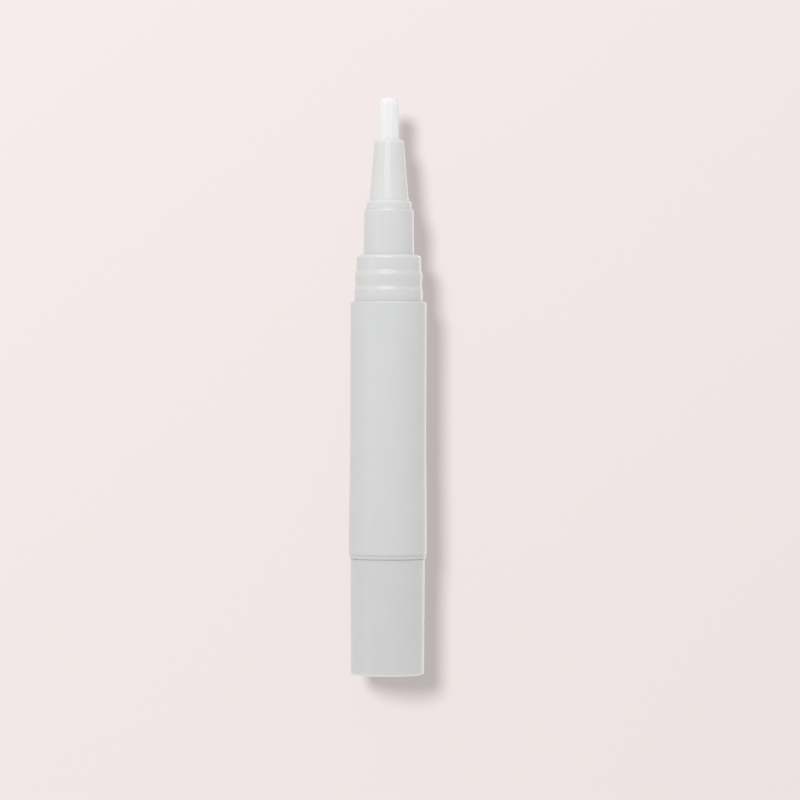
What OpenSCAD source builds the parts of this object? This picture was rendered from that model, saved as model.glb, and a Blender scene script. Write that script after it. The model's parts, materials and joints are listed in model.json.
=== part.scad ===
// Twist-up brush pen for nail oil.
// The pen stands on its knob with the brush up. The origin is the centre of the knob's foot
// and Z is the axis of the pen. Lengths are in millimetres.

/* [Knob] */
// Length of the knob outside
knob_len = 19.2; // [18:0.1:21]
// How far the knob's mouth is set in from the band over it
knob_step = 0.2; // [0.1:0.05:0.4]
// How far the knob draws in towards its foot
knob_draft = 0.1; // [0:0.05:0.3]
// Wall of the knob at its mouth
knob_wall = 1.05; // [0.8:0.05:1.3]
// Thickness of the knob's floor
knob_floor = 1; // [0.8:0.1:1.4]
// Rounding of the edge at the foot
knob_edge_r = 0.4; // [0.2:0.05:0.6]
// Rounding of the edge at the mouth
knob_lip_r = 0.15; // [0.1:0.05:0.3]
// Height of the boss that holds the drive sleeve, over the floor
boss_h = 8; // [6:0.5:10]
// Wall of that boss
boss_wall = 0.75; // [0.6:0.05:0.8]

/* [Barrel sleeve] */
// Length of the sleeve
sleeve_len = 42; // [41:0.5:48]
// Wall of the upper half of the sleeve
sleeve_wall = 0.9; // [0.7:0.05:1.2]
// How far the sleeve flares out at its foot
flare_step = 0.15; // [0.05:0.05:0.4]
// Length of the stretch that widens towards the foot
flare_len = 20; // [12:1:28]
// Depth of the recess in the upper rim that holds the collar's foot
seat_depth = 0.3; // [0.2:0.05:0.6]
// Rounding of the upper rim
rim_edge_r = 0.25; // [0.15:0.05:0.4]
// Rounding of the edge at the foot
foot_edge_r = 0.2; // [0.1:0.05:0.3]

/* [Collar and neck] */
// Height of each of the three soft ribs
rib_h = 2.6; // [2.2:0.1:3]
// How far the collar's foot is set in from the sleeve's side
rim_ledge_w = 0.67; // [0.5:0.01:0.8]
// How far the lowest rib stands out from the collar's foot
lower_rib_out = 0.03; // [0:0.01:0.1]
// How far the lower groove is set in from the collar's foot
lower_groove_in = 0.12; // [0.08:0.01:0.2]
// How far the middle rib is set in from the collar's foot
middle_rib_in = 0.02; // [0:0.01:0.06]
// How far the upper groove is set in from the collar's foot
upper_groove_in = 0.29; // [0.2:0.01:0.4]
// How far the collar's shoulder is set in from the collar's foot
shoulder_in = 0.48; // [0.4:0.01:0.6]
// Width of the shoulder's rounding
shoulder_w = 0.75; // [0.4:0.05:0.9]
// Height of the shoulder's rounding
shoulder_h = 0.5; // [0.3:0.05:0.7]
// Length of the neck
neck_len = 7.6; // [7.2:0.1:9]
// Wall of the neck, where a cap seats
neck_wall = 0.95; // [0.8:0.05:1.1]
// How far the neck draws in towards its mouth
neck_draft = 0.07; // [0.02:0.01:0.12]
// Length of the stretch that draws in towards the mouth
neck_draft_len = 1.6; // [1:0.1:2.4]
// Rounding of the edge at the neck's mouth
neck_edge_r = 0.4; // [0.2:0.05:0.5]

/* [Reservoir] */
// Wall of the reservoir round the oil chamber
reservoir_wall = 0.65; // [0.5:0.05:0.8]
// How far the full bore reaches up into the collar
chamber_reach = 1.6; // [1.5:0.1:2]
// Height of the cone between the chamber and the neck's bore
chamber_cone_h = 1.5; // [1.2:0.1:2]

/* [Nozzle] */
// Height of the ring that sits on the neck
ring_h = 1.4; // [1.2:0.1:1.8]
// How far that ring is set in from the neck
ring_step = 0.3; // [0.2:0.05:0.5]
// Rounding of the ring's upper edge
ring_edge_r = 0.5; // [0.3:0.05:0.6]
// Length of the cone
cone_len = 10.2; // [9.5:0.1:12]
// Width of the ring's ledge round the cone
ring_ledge_w = 0.61; // [0.55:0.01:0.8]
// How far the cone draws in towards its mouth
cone_draft = 0.87; // [0.6:0.01:1]
// Rounding of the edge at the cone's mouth
cone_edge_r = 0.5; // [0.2:0.05:0.6]
// Length of the plug inside the neck
plug_len = 6; // [5:0.1:7]
// Wall of that plug
plug_wall = 1.27; // [1.1:0.01:1.5]
// Thickness of the lip that stops the brush holder
lip_h = 1; // [0.8:0.1:1.5]
// Width of the groove for the seal
seal_groove_w = 1; // [0.9:0.05:1.2]
// Thickness of the seal's section
seal_section_d = 0.9; // [0.75:0.05:0.9]

/* [Brush] */
// How far the brush stands out of the cone
brush_len = 7; // [6:0.1:8]
// Diameter of the brush where it is widest, outside the cone
brush_d = 3.32; // [3:0.02:3.6]
// How far the brush draws in towards its tip
brush_tip_in = 0.13; // [0.05:0.01:0.2]
// How far the brush draws in towards its root
brush_root_in = 0.11; // [0.05:0.01:0.2]
// Width of the rounding round the flat end of the brush
brush_round_w = 1.01; // [0.7:0.01:1.2]
// Height of that rounding
brush_round_h = 1.1; // [0.6:0.1:1.5]
// Distance from strand to strand
strand_pitch = 0.15; // [0.14:0.002:0.16]
// Radius round a strand's three corners
strand_r = 0.058; // [0.05:0.001:0.06]
// Depth of a strand in the backing
strand_root = 0.5; // [0.3:0.05:0.8]
// Thickness of the backing
backing_h = 1; // [0.9:0.1:1.4]
// Diameter of the hole through the backing
backing_hole_d = 0.5; // [0.4:0.05:0.6]
// Length of the brush holder
holder_len = 7; // [6:0.1:8]
// Wall of the brush holder
holder_wall = 0.34; // [0.3:0.01:0.4]
// Thickness of the holder's base
holder_base_h = 0.9; // [0.7:0.1:1.3]

/* [Feed tube] */
// Outside diameter of the feed tube
feed_d = 1; // [0.9:0.05:1.1]
// Bore of the feed tube
feed_bore_d = 0.6; // [0.4:0.05:0.7]
// Length of the feed tube
feed_len = 9; // [7:0.5:10]

/* [End bush and ratchet] */
// Height of the band that shows under the sleeve
band_h = 0.7; // [0.5:0.05:1]
// How far that band is set in from the sleeve's foot
band_step = 0.1; // [0.05:0.05:0.3]
// Rounding of the band's lower edge
band_edge_r = 0.15; // [0.1:0.05:0.25]
// Length of the spigot that the knob runs on
spigot_len = 2.6; // [2:0.1:3.5]
// Wall of that spigot
spigot_wall = 0.8; // [0.6:0.05:0.9]
// Length of the bearing over the band
bearing_len = 2.5; // [2:0.1:3]
// Length of the toothed bore
ratchet_len = 5.1; // [4.8:0.1:6]
// Number of ratchet teeth, in pairs
tooth_pairs = 6; // [5:1:7]
// Depth of the ratchet teeth
tooth_depth = 0.4; // [0.3:0.05:0.5]
// Wall of the bush behind the teeth
bush_wall = 0.42; // [0.4:0.01:0.6]

/* [Drive sleeve and click ring] */
// Wall of the drive sleeve
drive_wall = 0.8; // [0.7:0.05:0.85]
// Height of the flange that holds the knob in
drive_flange_h = 0.8; // [0.6:0.1:1.2]
// Gap between that flange and the ratchet teeth
drive_flange_gap = 0.3; // [0.2:0.05:0.5]
// Height of the key ribs
drive_key_h = 0.3; // [0.2:0.05:0.35]
// Width of the key ribs
drive_key_w = 1.2; // [0.8:0.1:1.6]
// Height of the click ring
click_h = 3; // [2:0.1:3.4]
// Wall of the click ring's hub
click_hub_wall = 0.45; // [0.4:0.05:0.5]
// Thickness of the spring arms
click_arm_t = 0.4; // [0.3:0.05:0.4]
// Room for the spring arms to bend towards the hub
click_arm_gap = 0.22; // [0.2:0.01:0.4]

/* [Screw and nut] */
// Rise of the thread in one turn
thread_lead = 3; // [2.9:0.1:3.2]
// Turns from full to empty
turns = 8; // [6:0.5:8]
// Diameter over the screw's thread. The barrel is built outwards from it, wall by wall
screw_d = 5; // [4.6:0.1:5.4]
// Depth of the screw's thread
thread_depth = 0.6; // [0.5:0.05:0.65]
// Depth of the screw's two flats
screw_flat_depth = 0.8; // [0.75:0.05:0.9]
// Width of the thread's crest
thread_crest_w = 1.1; // [0.9:0.05:1.15]
// Width of the thread at the core
thread_base_w = 1.7; // [1.5:0.05:1.75]
// Gap between the screw's foot and the knob's floor
screw_foot_gap = 0.3; // [0.2:0.1:0.6]
// How far the screw's neck is set in from its core
screw_neck_in = 0.7; // [0.5:0.05:0.8]
// How far the screw's head, held by the piston, stands out from the neck
screw_head_out = 0.5; // [0.4:0.05:0.6]
// Height of that head
screw_head_h = 1.8; // [1.5:0.1:2]
// Height of the socket in the nut for the drive sleeve's end
nut_socket_h = 1.6; // [1:0.1:1.7]
// Height of the nut's body, up to the reservoir's foot
nut_body_h = 3.6; // [3:0.1:4]
// Height of the nut's threaded bore
nut_thread_h = 4.2; // [4.1:0.1:4.6]
// Width of each of the nut's two thread lugs at the wall
lug_base_w = 1.5; // [1.3:0.05:1.6]
// Width of a lug at its inner edge
lug_tip_w = 0.95; // [0.8:0.05:1]
// Half of the angle that a lug spans, in degrees
lug_half_angle = 50; // [35:1:60]

/* [Piston] */
// Length of the piston's side
piston_len = 4.2; // [4:0.1:4.4]
// Height of the cone on the piston
piston_nose_h = 0.9; // [0.6:0.1:1.2]
// Width of that cone's slope
piston_slope_w = 1.9; // [1.5:0.1:2.2]
// Height of each of the piston's two lips
piston_lip_h = 0.7; // [0.5:0.1:0.9]
// How far the lips stand out from the piston's waist
piston_lip_out = 0.4; // [0.3:0.05:0.6]
// Thickness of the piston ring's section
ring_section_d = 0.9; // [0.7:0.05:0.9]
// Width of the groove for that ring
ring_groove_w = 1.1; // [1:0.05:1.2]
// Gap between the piston and the nut
piston_gap = 0.4; // [0.3:0.1:0.8]

/* [Fits] */
// Axial gap at the seam between the knob and the band
seam_gap = 0.1; // [0.05:0.01:0.15]
// Radial clearance of pieces that are pushed together and stay put
push_clear = 0.03; // [0.02:0.01:0.05]
// Radial clearance of the reservoir in the sleeve
slip_clear = 0.05; // [0.03:0.01:0.1]
// Radial clearance of round pieces that turn or slide
run_clear = 0.05; // [0.03:0.01:0.08]
// Clearance round the screw in its key bore and its thread
thread_clear = 0.1; // [0.08:0.01:0.12]
// Axial play of the drive sleeve and the click ring
end_play = 0.1; // [0.05:0.01:0.2]

/* [Hidden] */
$fn = 96;
arc_steps = 6;
thread_steps = 6;
arm_steps = 10;
overrun = 0.5;
sink = 0.2;

// Heights of the outside, from the foot up
band_z = knob_len + seam_gap;
sleeve_z = band_z + band_h;
collar_z = sleeve_z + sleeve_len;
seat_z = collar_z - seat_depth;
lower_groove_z = collar_z + rib_h;
upper_groove_z = lower_groove_z + rib_h;
neck_z = upper_groove_z + rib_h;
ring_z = neck_z + neck_len;
cone_z = ring_z + ring_h;
mouth_z = cone_z + cone_len;
brush_top_z = mouth_z + brush_len;

// Height of a rib's crest over its foot, as a share of the rib
crest_share = 0.4;

// Heights inside the barrel
bearing_top_z = sleeve_z + bearing_len;
bush_top_z = bearing_top_z + ratchet_len;
drive_flange_z = bearing_top_z + end_play;
click_z = drive_flange_z + drive_flange_h;
nut_z = bush_top_z;
nut_socket_top_z = nut_z + nut_socket_h;
drive_top_z = nut_socket_top_z - 2 * end_play;
reservoir_z = nut_z + nut_body_h;
nut_top_z = nut_socket_top_z + nut_thread_h;
piston_z = nut_top_z + piston_gap;
chamber_top_z = collar_z + chamber_reach;

// Radii of the barrel, from the screw outwards
screw_r = screw_d / 2;
core_r = screw_r - thread_depth;
flat_half_w = screw_r - screw_flat_depth;
key_bore_r = screw_r + thread_clear;
key_half_w = flat_half_w + thread_clear;
drive_r = key_bore_r + drive_wall;
hub_r = drive_r + push_clear + click_hub_wall;
arm_inner_r = hub_r + click_arm_gap;
arm_outer_r = arm_inner_r + click_arm_t;
tooth_tip_r = arm_outer_r + end_play;
tooth_root_r = tooth_tip_r + tooth_depth;
bush_r = tooth_root_r + bush_wall;
sleeve_bore_r = bush_r + push_clear;
sleeve_top_r = sleeve_bore_r + sleeve_wall;
sleeve_foot_r = sleeve_top_r + flare_step;
band_r = sleeve_foot_r - band_step;
knob_top_r = band_r - knob_step;
knob_foot_r = knob_top_r - knob_draft;
knob_bore_r = knob_top_r - knob_wall;
spigot_r = knob_bore_r - run_clear;
reservoir_r = sleeve_bore_r - slip_clear;
chamber_r = reservoir_r - reservoir_wall;
piston_r = chamber_r - run_clear;
collar_r = sleeve_top_r - rim_ledge_w;
recess_r = collar_r + lower_rib_out + slip_clear;
shoulder_r = collar_r - shoulder_in;

// Radii of the nozzle, from the brush outwards
brush_r = brush_d / 2;
brush_root_r = brush_r - brush_root_in;
brush_flat_r = brush_r - brush_round_w;
holder_bore_r = brush_root_r + push_clear;
holder_r = holder_bore_r + holder_wall;
nozzle_bore_r = holder_r + push_clear;
plug_r = nozzle_bore_r + plug_wall;
neck_bore_r = plug_r + push_clear;
neck_r = neck_bore_r + neck_wall;
ring_r = neck_r - ring_step;
cone_base_r = ring_r - ring_ledge_w;
cone_mouth_r = cone_base_r - cone_draft;

// The screw's head and its socket in the piston
head_z = piston_z + piston_lip_h;
screw_neck_r = core_r - screw_neck_in;
screw_head_r = screw_neck_r + screw_head_out;
socket_r = screw_head_r + run_clear;
socket_throat_r = screw_neck_r + run_clear;

// The screw, whose thread meets the nut's lugs over the whole travel
travel = turns * thread_lead;
screw_foot_z = knob_floor + screw_foot_gap;
lug_rise = thread_lead * lug_half_angle / 360;
lug_z = nut_socket_top_z + lug_base_w / 2 + lug_rise + end_play;
thread_foot_z = nut_socket_top_z - travel;
thread_top_z = nut_top_z;
thread_relief_angle = 1;
thread_half_angle = asin(flat_half_w / screw_r) - thread_relief_angle;
thread_edge = thread_base_w / 2 + thread_lead * thread_half_angle / 360;

// The ratchet: the long flank of a tooth takes most of its pitch
tooth_angle = 180 / tooth_pairs;
tooth_flank_share = 0.86;
tooth_flat_share = 0.1;
arm_angle = 84;
arm_nose_share = 0.45;
nose_r = tooth_root_r - end_play;

// The brush, which is widest a share of its length over the mouth
belly_share = 0.4;
backing_z = mouth_z - lip_h - holder_len + holder_base_h;
strand_z = backing_z + backing_h - strand_root;
belly_z = mouth_z + belly_share * brush_len;
strand_field_r = brush_root_r - strand_r;
strand_rows = ceil(strand_field_r / strand_pitch);

white = [0.86, 0.87, 0.87];
knob_white = [0.83, 0.83, 0.82];
tip_white = [0.9, 0.91, 0.91];
inner_white = [0.93, 0.93, 0.9];
clear_white = [0.88, 0.9, 0.88];
seal_grey = [0.6, 0.62, 0.62];
steel = [0.72, 0.73, 0.75];
fibre_white = [0.97, 0.97, 0.97];

// Points of an elliptical arc in a profile of radius and height
function arc(centre, w, h, from, to) = [
    for (i = [0 : arc_steps])
        let (a = from + (to - from) * i / arc_steps)
        [centre[0] + w * cos(a), centre[1] + h * sin(a)]
];

// Points of a soft S from one point of a profile to another, without its last point
function soft(from, to) = [
    for (i = [0 : arc_steps - 1])
        let (t = i / arc_steps)
        [from[0] + (to[0] - from[0]) * (1 - cos(180 * t)) / 2, from[1] + (to[1] - from[1]) * t]
];

// Point on a circle
function polar(r, a) = [r * cos(a), r * sin(a)];

// Points along a circle from one angle to another
function curve(r, from, to) = [
    for (i = [0 : arm_steps]) polar(r, from + (to - from) * i / arm_steps)
];

// Solid of revolution from a profile of radius and height
module turned(profile) {
    rotate_extrude() polygon(profile);
}

// Round bore from one height to another
module bore(r, from, to) {
    translate([0, 0, from]) cylinder(r = r, h = to - from);
}

// Bore that runs out of the piece at both ends
module through_bore(r, from, to) {
    bore(r, from - overrun, to + overrun);
}

// Ring of round section
module seal_ring(outer_r, section_d, z) {
    translate([0, 0, z])
        rotate_extrude()
            translate([outer_r - section_d / 2, 0]) circle(d = section_d);
}

// Cross-section with two flats, as the screw and its key bore have
module flatted(r, half_w) {
    intersection() {
        circle(r = r);
        square([4 * r, 2 * half_w], center = true);
    }
}

// One piece of thread round the axis, between two angles either side of the X axis.
// Its four corners are inner low, outer low, outer high and inner high.
module thread_arc(inner_r, outer_r, inner_w, outer_w, half_angle) {
    corners = [
        [inner_r, -inner_w / 2], [outer_r, -outer_w / 2],
        [outer_r, outer_w / 2], [inner_r, inner_w / 2]
    ];
    points = [
        for (i = [0 : thread_steps])
            let (a = half_angle * (2 * i / thread_steps - 1))
            for (c = corners)
                [c[0] * cos(a), c[0] * sin(a), c[1] + thread_lead * a / 360]
    ];
    sides = [
        for (i = [0 : thread_steps - 1], k = [0 : 3])
            let (a = 4 * i + k, b = 4 * i + (k + 1) % 4)
            each [[a, b, b + 4], [a, b + 4, a + 4]]
    ];
    last = 4 * thread_steps;
    ends = [[0, 2, 1], [0, 3, 2], [last, last + 1, last + 2], [last, last + 2, last + 3]];
    polyhedron(points = points, faces = concat(sides, ends), convexity = 4);
}

module barrel_sleeve() {
    color(white) difference() {
        turned(concat(
            [[0, sleeve_z]],
            arc([sleeve_foot_r - foot_edge_r, sleeve_z + foot_edge_r], foot_edge_r,
                foot_edge_r, -90, 0),
            soft([sleeve_foot_r, sleeve_z + 2 * foot_edge_r],
                [sleeve_top_r, sleeve_z + flare_len]),
            [[sleeve_top_r, sleeve_z + flare_len]],
            arc([sleeve_top_r - rim_edge_r, collar_z - rim_edge_r], rim_edge_r, rim_edge_r, 0, 90),
            [[0, collar_z]]
        ));
        through_bore(sleeve_bore_r, sleeve_z, collar_z);
        bore(recess_r, seat_z, collar_z + overrun);
    }
}

module reservoir_tube() {
    foot = [collar_r, collar_z];
    lower_rib = [collar_r + lower_rib_out, collar_z + crest_share * rib_h];
    lower_groove = [collar_r - lower_groove_in, lower_groove_z];
    middle_rib = [collar_r - middle_rib_in, lower_groove_z + crest_share * rib_h];
    upper_groove = [collar_r - upper_groove_in, upper_groove_z];
    shoulder_round_w = min(shoulder_w, shoulder_r - neck_r);
    neck_mouth_r = neck_r - neck_draft;
    neck_straight_z = ring_z - neck_edge_r - neck_draft_len;
    shoulder_z = neck_z - shoulder_h;
    color(white) difference() {
        turned(concat(
            [[0, reservoir_z], [reservoir_r, reservoir_z], [reservoir_r, seat_z],
             [collar_r, seat_z]],
            soft(foot, lower_rib), soft(lower_rib, lower_groove),
            soft(lower_groove, middle_rib), soft(middle_rib, upper_groove), [upper_groove],
            arc([shoulder_r - shoulder_round_w, shoulder_z], shoulder_round_w, shoulder_h, 0, 90),
            [[neck_r, neck_z], [neck_r, neck_straight_z]],
            arc([neck_mouth_r - neck_edge_r, ring_z - neck_edge_r], neck_edge_r, neck_edge_r,
                0, 90),
            [[0, ring_z]]
        ));
        turned([
            [0, reservoir_z - overrun], [chamber_r, reservoir_z - overrun],
            [chamber_r, chamber_top_z], [neck_bore_r, chamber_top_z + chamber_cone_h],
            [neck_bore_r, ring_z + overrun], [0, ring_z + overrun]
        ]);
    }
}

module nozzle_cone() {
    cone_slope = cone_draft / cone_len;
    edge_z = mouth_z - cone_edge_r;
    groove_z = ring_z - plug_len / 2;
    plug_z = ring_z - plug_len;
    color(tip_white) difference() {
        turned(concat(
            [[0, plug_z], [plug_r, plug_z], [plug_r, groove_z - seal_groove_w / 2],
             [plug_r - seal_section_d, groove_z - seal_groove_w / 2],
             [plug_r - seal_section_d, groove_z + seal_groove_w / 2],
             [plug_r, groove_z + seal_groove_w / 2], [plug_r, ring_z], [ring_r, ring_z]],
            arc([ring_r - ring_edge_r, cone_z - ring_edge_r], ring_edge_r, ring_edge_r, 0, 90),
            [[cone_base_r, cone_z]],
            arc([cone_mouth_r + cone_slope * cone_edge_r - cone_edge_r, edge_z],
                cone_edge_r, cone_edge_r, 0, 90),
            [[0, mouth_z]]
        ));
        through_bore(nozzle_bore_r, plug_z, mouth_z - lip_h - overrun);
        bore(brush_r, mouth_z - lip_h - overrun, mouth_z + overrun);
    }
}

module nozzle_seal() {
    color(seal_grey) seal_ring(neck_bore_r - push_clear / 2, seal_section_d, ring_z - plug_len / 2);
}

module brush_holder() {
    foot_z = backing_z - holder_base_h;
    color(inner_white) difference() {
        bore(holder_r, foot_z, foot_z + holder_len);
        bore(holder_bore_r, backing_z, foot_z + holder_len + overrun);
        through_bore(feed_d / 2 + push_clear, foot_z, backing_z);
    }
}

module feed_tube() {
    foot_z = backing_z - feed_len;
    color(steel) difference() {
        bore(feed_d / 2, foot_z, backing_z);
        through_bore(feed_bore_d / 2, foot_z, backing_z);
    }
}

// How much wider the brush is at a height than at its root
function spread(z) = z < belly_z
    ? 1 + (brush_r / brush_root_r - 1) * (z - strand_z) / (belly_z - strand_z)
    : (brush_r - brush_tip_in * (z - belly_z) / (brush_top_z - belly_z)) / brush_root_r;

// Height of the brush's rounded end over a strand that stands this far from the axis
function strand_top(r) =
    let (t = (r - brush_flat_r) / brush_round_w)
    brush_top_z - (t > 0 ? brush_round_h * (1 - sqrt(1 - t * t)) : 0);

// Places of the strands: a honeycomb round the hole, as wide as the root
strands = [
    for (row = [-strand_rows : strand_rows], col = [-strand_rows : strand_rows])
        let (p = [(col + (row % 2 == 0 ? 0 : 0.5)) * strand_pitch, row * sin(60) * strand_pitch])
        if (norm(p) < strand_field_r && norm(p) > backing_hole_d / 2 + strand_r) p
];

module brush_tuft() {
    rings = [
        for (p = strands)
            let (top = strand_top(norm(p) * spread(brush_top_z)))
            for (z = [strand_z, belly_z, top])
                for (k = [0 : 2])
                    let (c = polar(strand_r, 120 * k + 90))
                    [p[0] * spread(z) + c[0], p[1] * spread(z) + c[1], z]
    ];
    faces = [
        for (s = [0 : len(strands) - 1])
            let (n = 9 * s)
            each concat(
                [[n, n + 1, n + 2], [n + 6, n + 8, n + 7]],
                [for (j = [0, 3], k = [0 : 2])
                    let (a = n + j + k, b = n + j + (k + 1) % 3)
                    each [[a, b + 3, b], [a, a + 3, b + 3]]]
            )
    ];
    color(fibre_white) {
        difference() {
            bore(brush_root_r, backing_z, backing_z + backing_h);
            through_bore(backing_hole_d / 2, backing_z, backing_z + backing_h);
        }
        polyhedron(points = rings, faces = faces, convexity = 10);
    }
}

// Outline of the toothed bore: each tooth is a flat, a long flank and a steep face
module ratchet_outline() {
    polygon([
        for (i = [0 : 2 * tooth_pairs - 1])
            let (a = i * tooth_angle)
            each [
                polar(tooth_root_r, a),
                polar(tooth_root_r, a + tooth_flat_share * tooth_angle),
                polar(tooth_tip_r, a + (tooth_flat_share + tooth_flank_share) * tooth_angle)
            ]
    ]);
}

module end_bush() {
    spigot_z = band_z - spigot_len;
    color(white) difference() {
        turned(concat(
            [[0, spigot_z], [spigot_r, spigot_z], [spigot_r, band_z]],
            arc([band_r - band_edge_r, band_z + band_edge_r], band_edge_r, band_edge_r, -90, 0),
            [[band_r, sleeve_z], [bush_r, sleeve_z], [bush_r, bush_top_z], [0, bush_top_z]]
        ));
        bore(spigot_r - spigot_wall, spigot_z - overrun, band_z);
        through_bore(drive_r + run_clear, band_z, bearing_top_z);
        translate([0, 0, bearing_top_z])
            linear_extrude(height = ratchet_len + overrun) ratchet_outline();
    }
}

module thread_nut() {
    lug_tip_r = core_r + thread_clear;
    lug_slope = (lug_base_w - lug_tip_w) / thread_depth;
    color(inner_white) {
        difference() {
            turned([
                [0, nut_z], [bush_r, nut_z], [bush_r, reservoir_z],
                [chamber_r - push_clear, reservoir_z], [chamber_r - push_clear, nut_top_z],
                [0, nut_top_z]
            ]);
            through_bore(key_bore_r, nut_z, nut_top_z);
            bore(drive_r + 2 * run_clear, nut_z - overrun, nut_socket_top_z);
        }
        for (side = [0, 1])
            translate([0, 0, lug_z + side * thread_lead / 2]) rotate([0, 0, 180 * side])
                thread_arc(lug_tip_r, key_bore_r + sink, lug_tip_w, lug_base_w + sink * lug_slope,
                    lug_half_angle);
    }
}

module twist_knob() {
    boss_bore_r = drive_r + push_clear;
    boss_top_z = knob_floor + boss_h;
    color(knob_white) difference() {
        turned(concat(
            [[0, 0]],
            arc([knob_foot_r - knob_edge_r, knob_edge_r], knob_edge_r, knob_edge_r, -90, 0),
            arc([knob_top_r - knob_lip_r, knob_len - knob_lip_r], knob_lip_r, knob_lip_r, 0, 90),
            [[knob_bore_r, knob_len], [knob_bore_r, knob_floor],
             [boss_bore_r + boss_wall, knob_floor], [boss_bore_r + boss_wall, boss_top_z],
             [boss_bore_r, boss_top_z], [boss_bore_r, knob_floor], [0, knob_floor]]
        ));
        drive_keys(drive_r + drive_key_h + push_clear, drive_key_w + 2 * push_clear, knob_floor,
            boss_h + overrun);
    }
}

// The two ribs that key the drive sleeve to what turns with it
module drive_keys(r, w, z, h) {
    translate([-r, -w / 2, z]) cube([2 * r, w, h]);
}

module drive_sleeve() {
    key_r = drive_r + drive_key_h;
    color(inner_white) difference() {
        union() {
            bore(drive_r, knob_floor, drive_top_z);
            bore(tooth_tip_r - drive_flange_gap, drive_flange_z, click_z);
            drive_keys(key_r, drive_key_w, knob_floor, boss_h);
            drive_keys(key_r, drive_key_w, click_z, click_h);
        }
        translate([0, 0, knob_floor - overrun])
            linear_extrude(height = drive_top_z - knob_floor + 2 * overrun)
                flatted(key_bore_r, key_half_w);
    }
}

// One spring arm: it leaves the hub, follows the teeth and ends in a nose between two of them
module click_arm() {
    nose_from = tooth_flat_share * tooth_angle / 2;
    nose_to = tooth_flat_share * tooth_angle;
    slope_to = arm_nose_share * tooth_angle;
    root_from = arm_angle - tooth_angle / 2;
    polygon(concat(
        [polar(arm_inner_r, nose_from), polar(nose_r, nose_from), polar(nose_r, nose_to)],
        curve(arm_outer_r, slope_to, arm_angle),
        [polar(hub_r - sink, arm_angle), polar(hub_r - sink, root_from)],
        curve(arm_inner_r, root_from, slope_to)
    ));
}

module click_ring() {
    color(inner_white) translate([0, 0, click_z]) linear_extrude(height = click_h) {
        difference() {
            circle(r = hub_r);
            circle(r = drive_r + push_clear);
            square([2 * (drive_r + drive_key_h + push_clear), drive_key_w + 2 * push_clear],
                center = true);
        }
        for (side = [0, 1]) rotate(180 * side) click_arm();
    }
}

module screw_rod() {
    base_slope = (thread_base_w - thread_crest_w) / thread_depth;
    first = ceil((thread_foot_z + thread_edge - lug_z) * 2 / thread_lead);
    last = floor((thread_top_z - thread_edge - lug_z) * 2 / thread_lead);
    color(inner_white) {
        translate([0, 0, screw_foot_z])
            linear_extrude(height = thread_foot_z - screw_foot_z)
                flatted(screw_r, flat_half_w);
        translate([0, 0, screw_foot_z])
            linear_extrude(height = thread_top_z - screw_foot_z)
                flatted(core_r, flat_half_w);
        turned([
            [0, thread_top_z - sink], [screw_neck_r, thread_top_z - sink],
            [screw_neck_r, head_z + run_clear],
            [screw_head_r, head_z + run_clear],
            [screw_head_r, head_z + run_clear + screw_head_h / 2],
            [screw_neck_r, head_z + run_clear + screw_head_h],
            [0, head_z + run_clear + screw_head_h]
        ]);
        for (i = [first : last])
            translate([0, 0, lug_z + i * thread_lead / 2]) rotate([0, 0, 180 * (i + 1)])
                thread_arc(core_r - sink, screw_r, thread_base_w + sink * base_slope,
                    thread_crest_w, thread_half_angle);
    }
}

module piston() {
    waist_r = piston_r - piston_lip_out;
    side_top_z = piston_z + piston_len;
    ring_mid_z = piston_z + piston_len / 2;
    groove_r = piston_r - ring_section_d;
    color(clear_white) difference() {
        turned([
            [0, piston_z], [piston_r, piston_z], [piston_r, piston_z + piston_lip_h],
            [waist_r, piston_z + piston_lip_h], [waist_r, ring_mid_z - ring_groove_w / 2],
            [groove_r, ring_mid_z - ring_groove_w / 2], [groove_r, ring_mid_z + ring_groove_w / 2],
            [waist_r, ring_mid_z + ring_groove_w / 2], [waist_r, side_top_z - piston_lip_h],
            [piston_r, side_top_z - piston_lip_h], [piston_r, side_top_z],
            [piston_r - piston_slope_w, side_top_z + piston_nose_h], [0, side_top_z + piston_nose_h]
        ]);
        bore(socket_throat_r, piston_z - overrun, head_z);
        turned([
            [0, head_z], [socket_r, head_z], [socket_r, head_z + 2 * run_clear + screw_head_h / 2],
            [socket_throat_r, head_z + 2 * run_clear + screw_head_h],
            [0, head_z + 2 * run_clear + screw_head_h]
        ]);
    }
}

module piston_ring() {
    color(seal_grey) seal_ring(piston_r, ring_section_d, piston_z + piston_len / 2);
}

barrel_sleeve();
reservoir_tube();
nozzle_cone();
nozzle_seal();
brush_holder();
feed_tube();
brush_tuft();
end_bush();
thread_nut();
twist_knob();
drive_sleeve();
click_ring();
screw_rod();
piston();
piston_ring();
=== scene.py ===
"""Looks and studio of a twist-up brush pen for nail oil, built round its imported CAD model.

The pen stands on its knob at the origin with the brush up, and the camera looks along +Y.
Lengths are in metres, and a length that is known in millimetres is written as a number times MM.
"""

import json
import math
import random

import bmesh
import bpy
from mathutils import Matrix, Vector, noise


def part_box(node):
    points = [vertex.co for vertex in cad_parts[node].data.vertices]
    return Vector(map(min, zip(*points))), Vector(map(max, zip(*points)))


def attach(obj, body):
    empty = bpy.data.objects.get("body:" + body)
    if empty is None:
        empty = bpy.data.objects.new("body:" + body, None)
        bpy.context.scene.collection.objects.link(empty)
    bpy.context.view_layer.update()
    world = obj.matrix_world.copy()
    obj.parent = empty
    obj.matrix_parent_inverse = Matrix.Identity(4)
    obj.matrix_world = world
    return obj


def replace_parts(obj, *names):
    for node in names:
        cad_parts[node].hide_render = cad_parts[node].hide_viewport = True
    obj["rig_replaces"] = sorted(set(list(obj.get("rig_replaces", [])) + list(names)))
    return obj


MM = 0.001

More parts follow.
